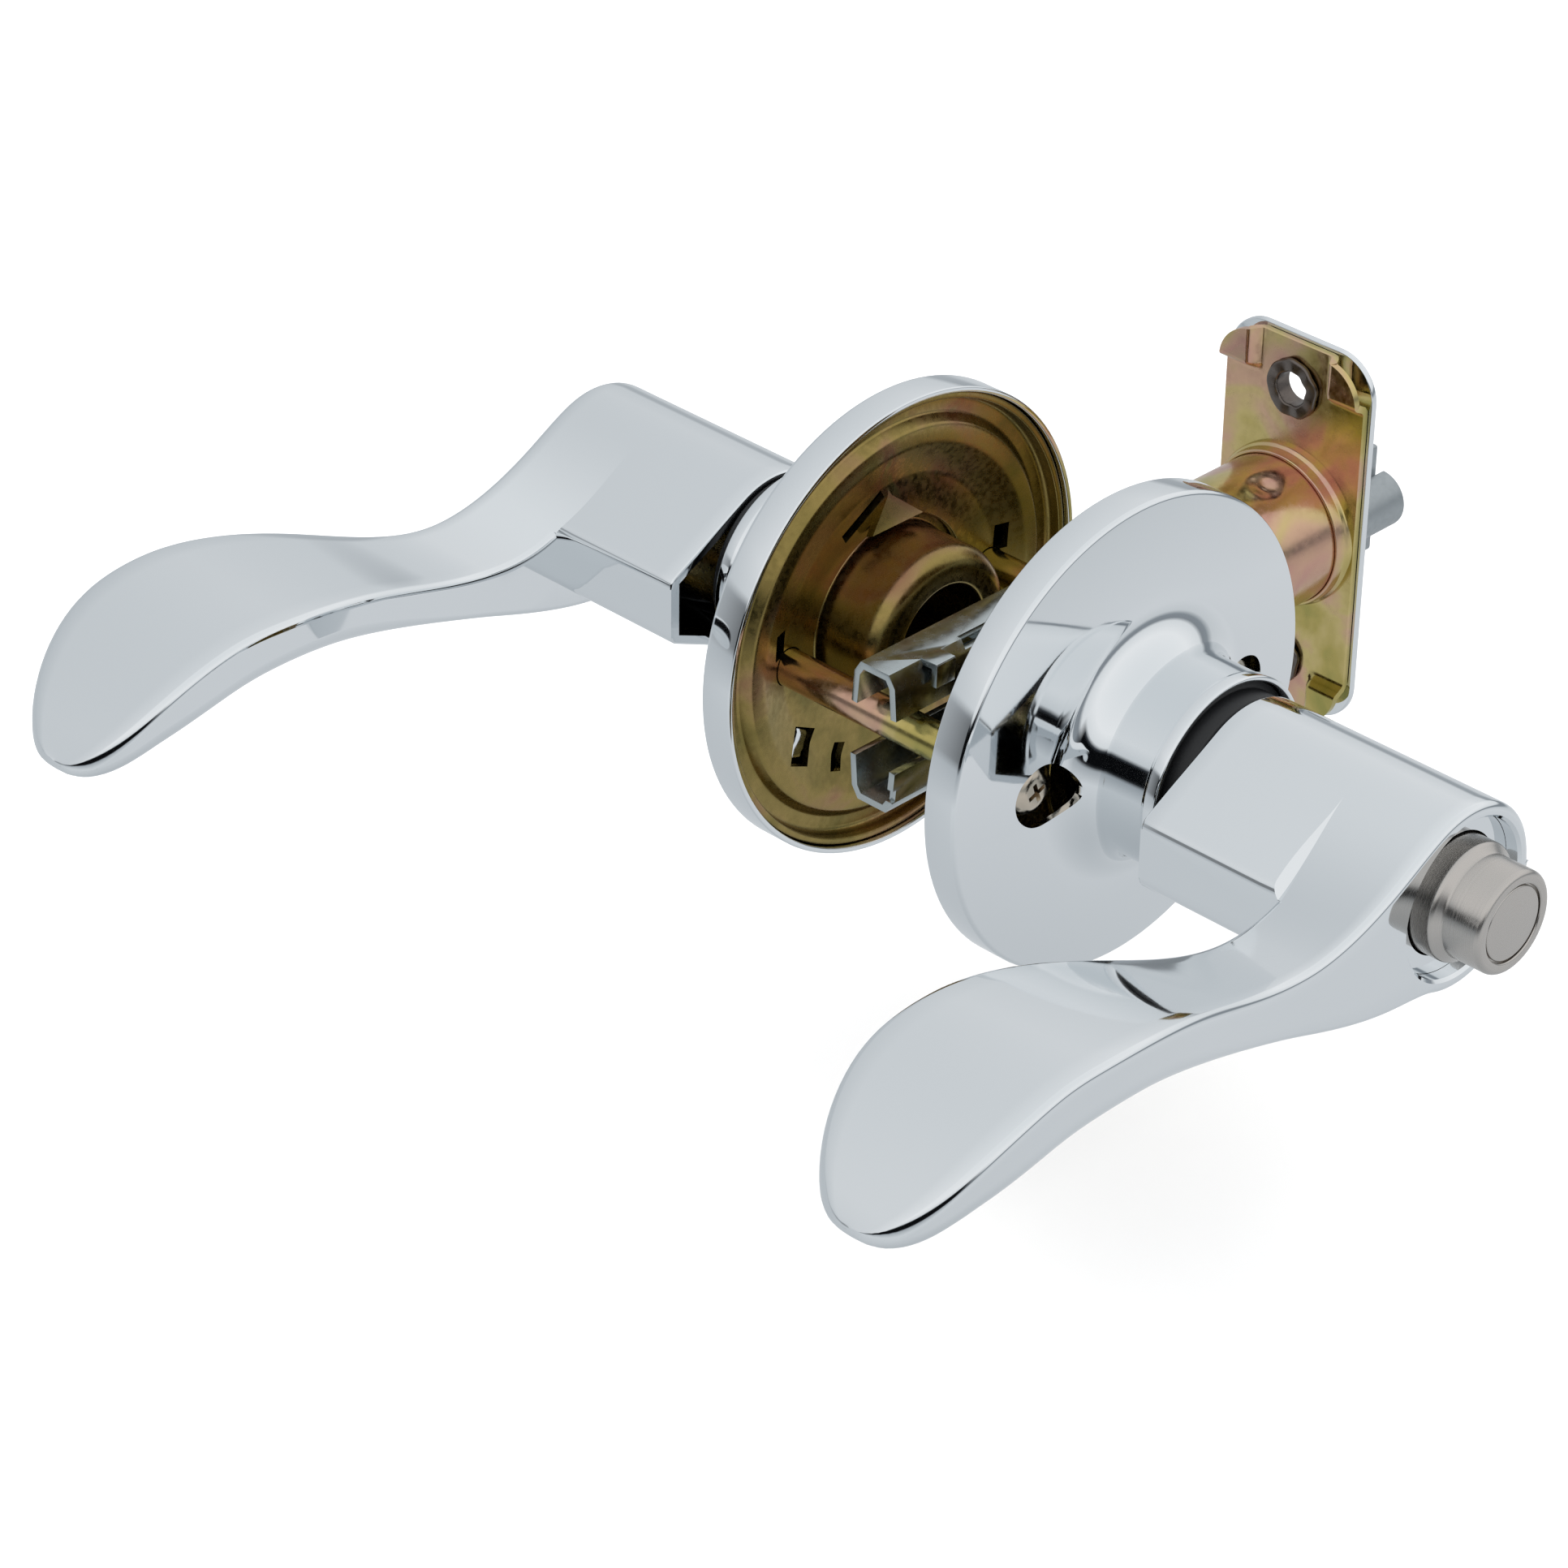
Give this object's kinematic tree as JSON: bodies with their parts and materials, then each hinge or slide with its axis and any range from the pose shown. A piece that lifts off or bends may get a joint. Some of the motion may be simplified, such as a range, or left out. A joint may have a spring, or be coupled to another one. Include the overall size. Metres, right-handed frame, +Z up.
{
  "type": "door lever handle",
  "caption": "Privacy lever lockset with two mirrored wave levers on round roses, a push-button lock and a tubular spring latch with deadlatch plunger.",
  "frame": {"origin": "where the spindle axis crosses the latch axis, in the middle of the door", "axes": "+X along the latch towards the door edge, +Y along the spindle towards the outside, +Z up"},
  "size_m": [0.1764, 0.1703, 0.0672],
  "materials": {
    "chrome": "polished chrome plate",
    "yellow_zinc": "yellow zinc dichromate",
    "clear_zinc": "clear zinc",
    "satin_nickel": "satin nickel",
    "bearing": "black moulded",
    "die_cast": "grey die-cast zinc",
    "dark_steel": "dark crimped steel",
    "spring_steel": "spring steel",
    "nickel_screw": "bright nickel"
  },
  "bodies": {
    "chassis": {"inside_rose": "chrome", "inside_liner": "yellow_zinc", "inside_spring_cup": "yellow_zinc", "inside_neck_ring": "bearing", "inside_return_spring": "spring_steel", "outside_rose": "chrome", "outside_liner": "yellow_zinc", "outside_spring_cup": "yellow_zinc", "outside_neck_ring": "bearing", "outside_return_spring": "spring_steel", "mounting_posts": "yellow_zinc", "mounting_screws": "nickel_screw", "latch_faceplate": "chrome", "latch_backplate": "yellow_zinc", "plate_eyelets": "dark_steel", "latch_tube": "yellow_zinc", "tail_frame_upper": "clear_zinc", "tail_frame_lower": "clear_zinc", "bolt_spring": "spring_steel", "plunger_spring": "spring_steel"},
    "lever_set": {"inside_lever": "chrome", "inside_sleeve": "yellow_zinc", "inside_catch": "spring_steel", "outside_lever": "chrome", "outside_sleeve": "yellow_zinc", "outside_catch": "spring_steel", "drive_spindle": "yellow_zinc", "retractor_hub": "clear_zinc", "button_collar": "chrome", "button_spring": "spring_steel"},
    "button": {"button_body": "satin_nickel", "button_disc": "satin_nickel", "locking_bar": "clear_zinc"},
    "bolt": {"latch_bolt": "die_cast", "drawbar": "clear_zinc"},
    "plunger": {"deadlatch_plunger": "die_cast"}
  },
  "joints": [
    {"name": "lever_turn", "type": "hinge", "parent": "chassis", "child": "lever_set", "pos_m": [0, 0, 0], "axis": [0, -1, 0], "range_deg": [0, 50], "stiffness_Nm_per_rad": 1, "springref_deg": -34.38, "deforming": ["inside_return_spring", "outside_return_spring"]},
    {"name": "button_push", "type": "slide", "parent": "lever_set", "child": "button", "axis": [0, 1, 0], "range_m": [0, 0.0034], "stiffness_N_per_m": 400, "springref_m": -0.003, "deforming": ["button_spring"]},
    {"name": "bolt_draw", "type": "slide", "parent": "chassis", "child": "bolt", "axis": [-1, 0, 0], "range_m": [0, 0.0123], "deforming": ["bolt_spring"]},
    {"name": "plunger_push", "type": "slide", "parent": "chassis", "child": "plunger", "axis": [-1, 0, 0], "range_m": [0, 0.0128], "stiffness_N_per_m": 120, "springref_m": -0.006, "deforming": ["plunger_spring"]}
  ],
  "couplings": [
    {"joint": "bolt_draw", "follows": "lever_turn", "m_per_rad": 0.01398}
  ]
}
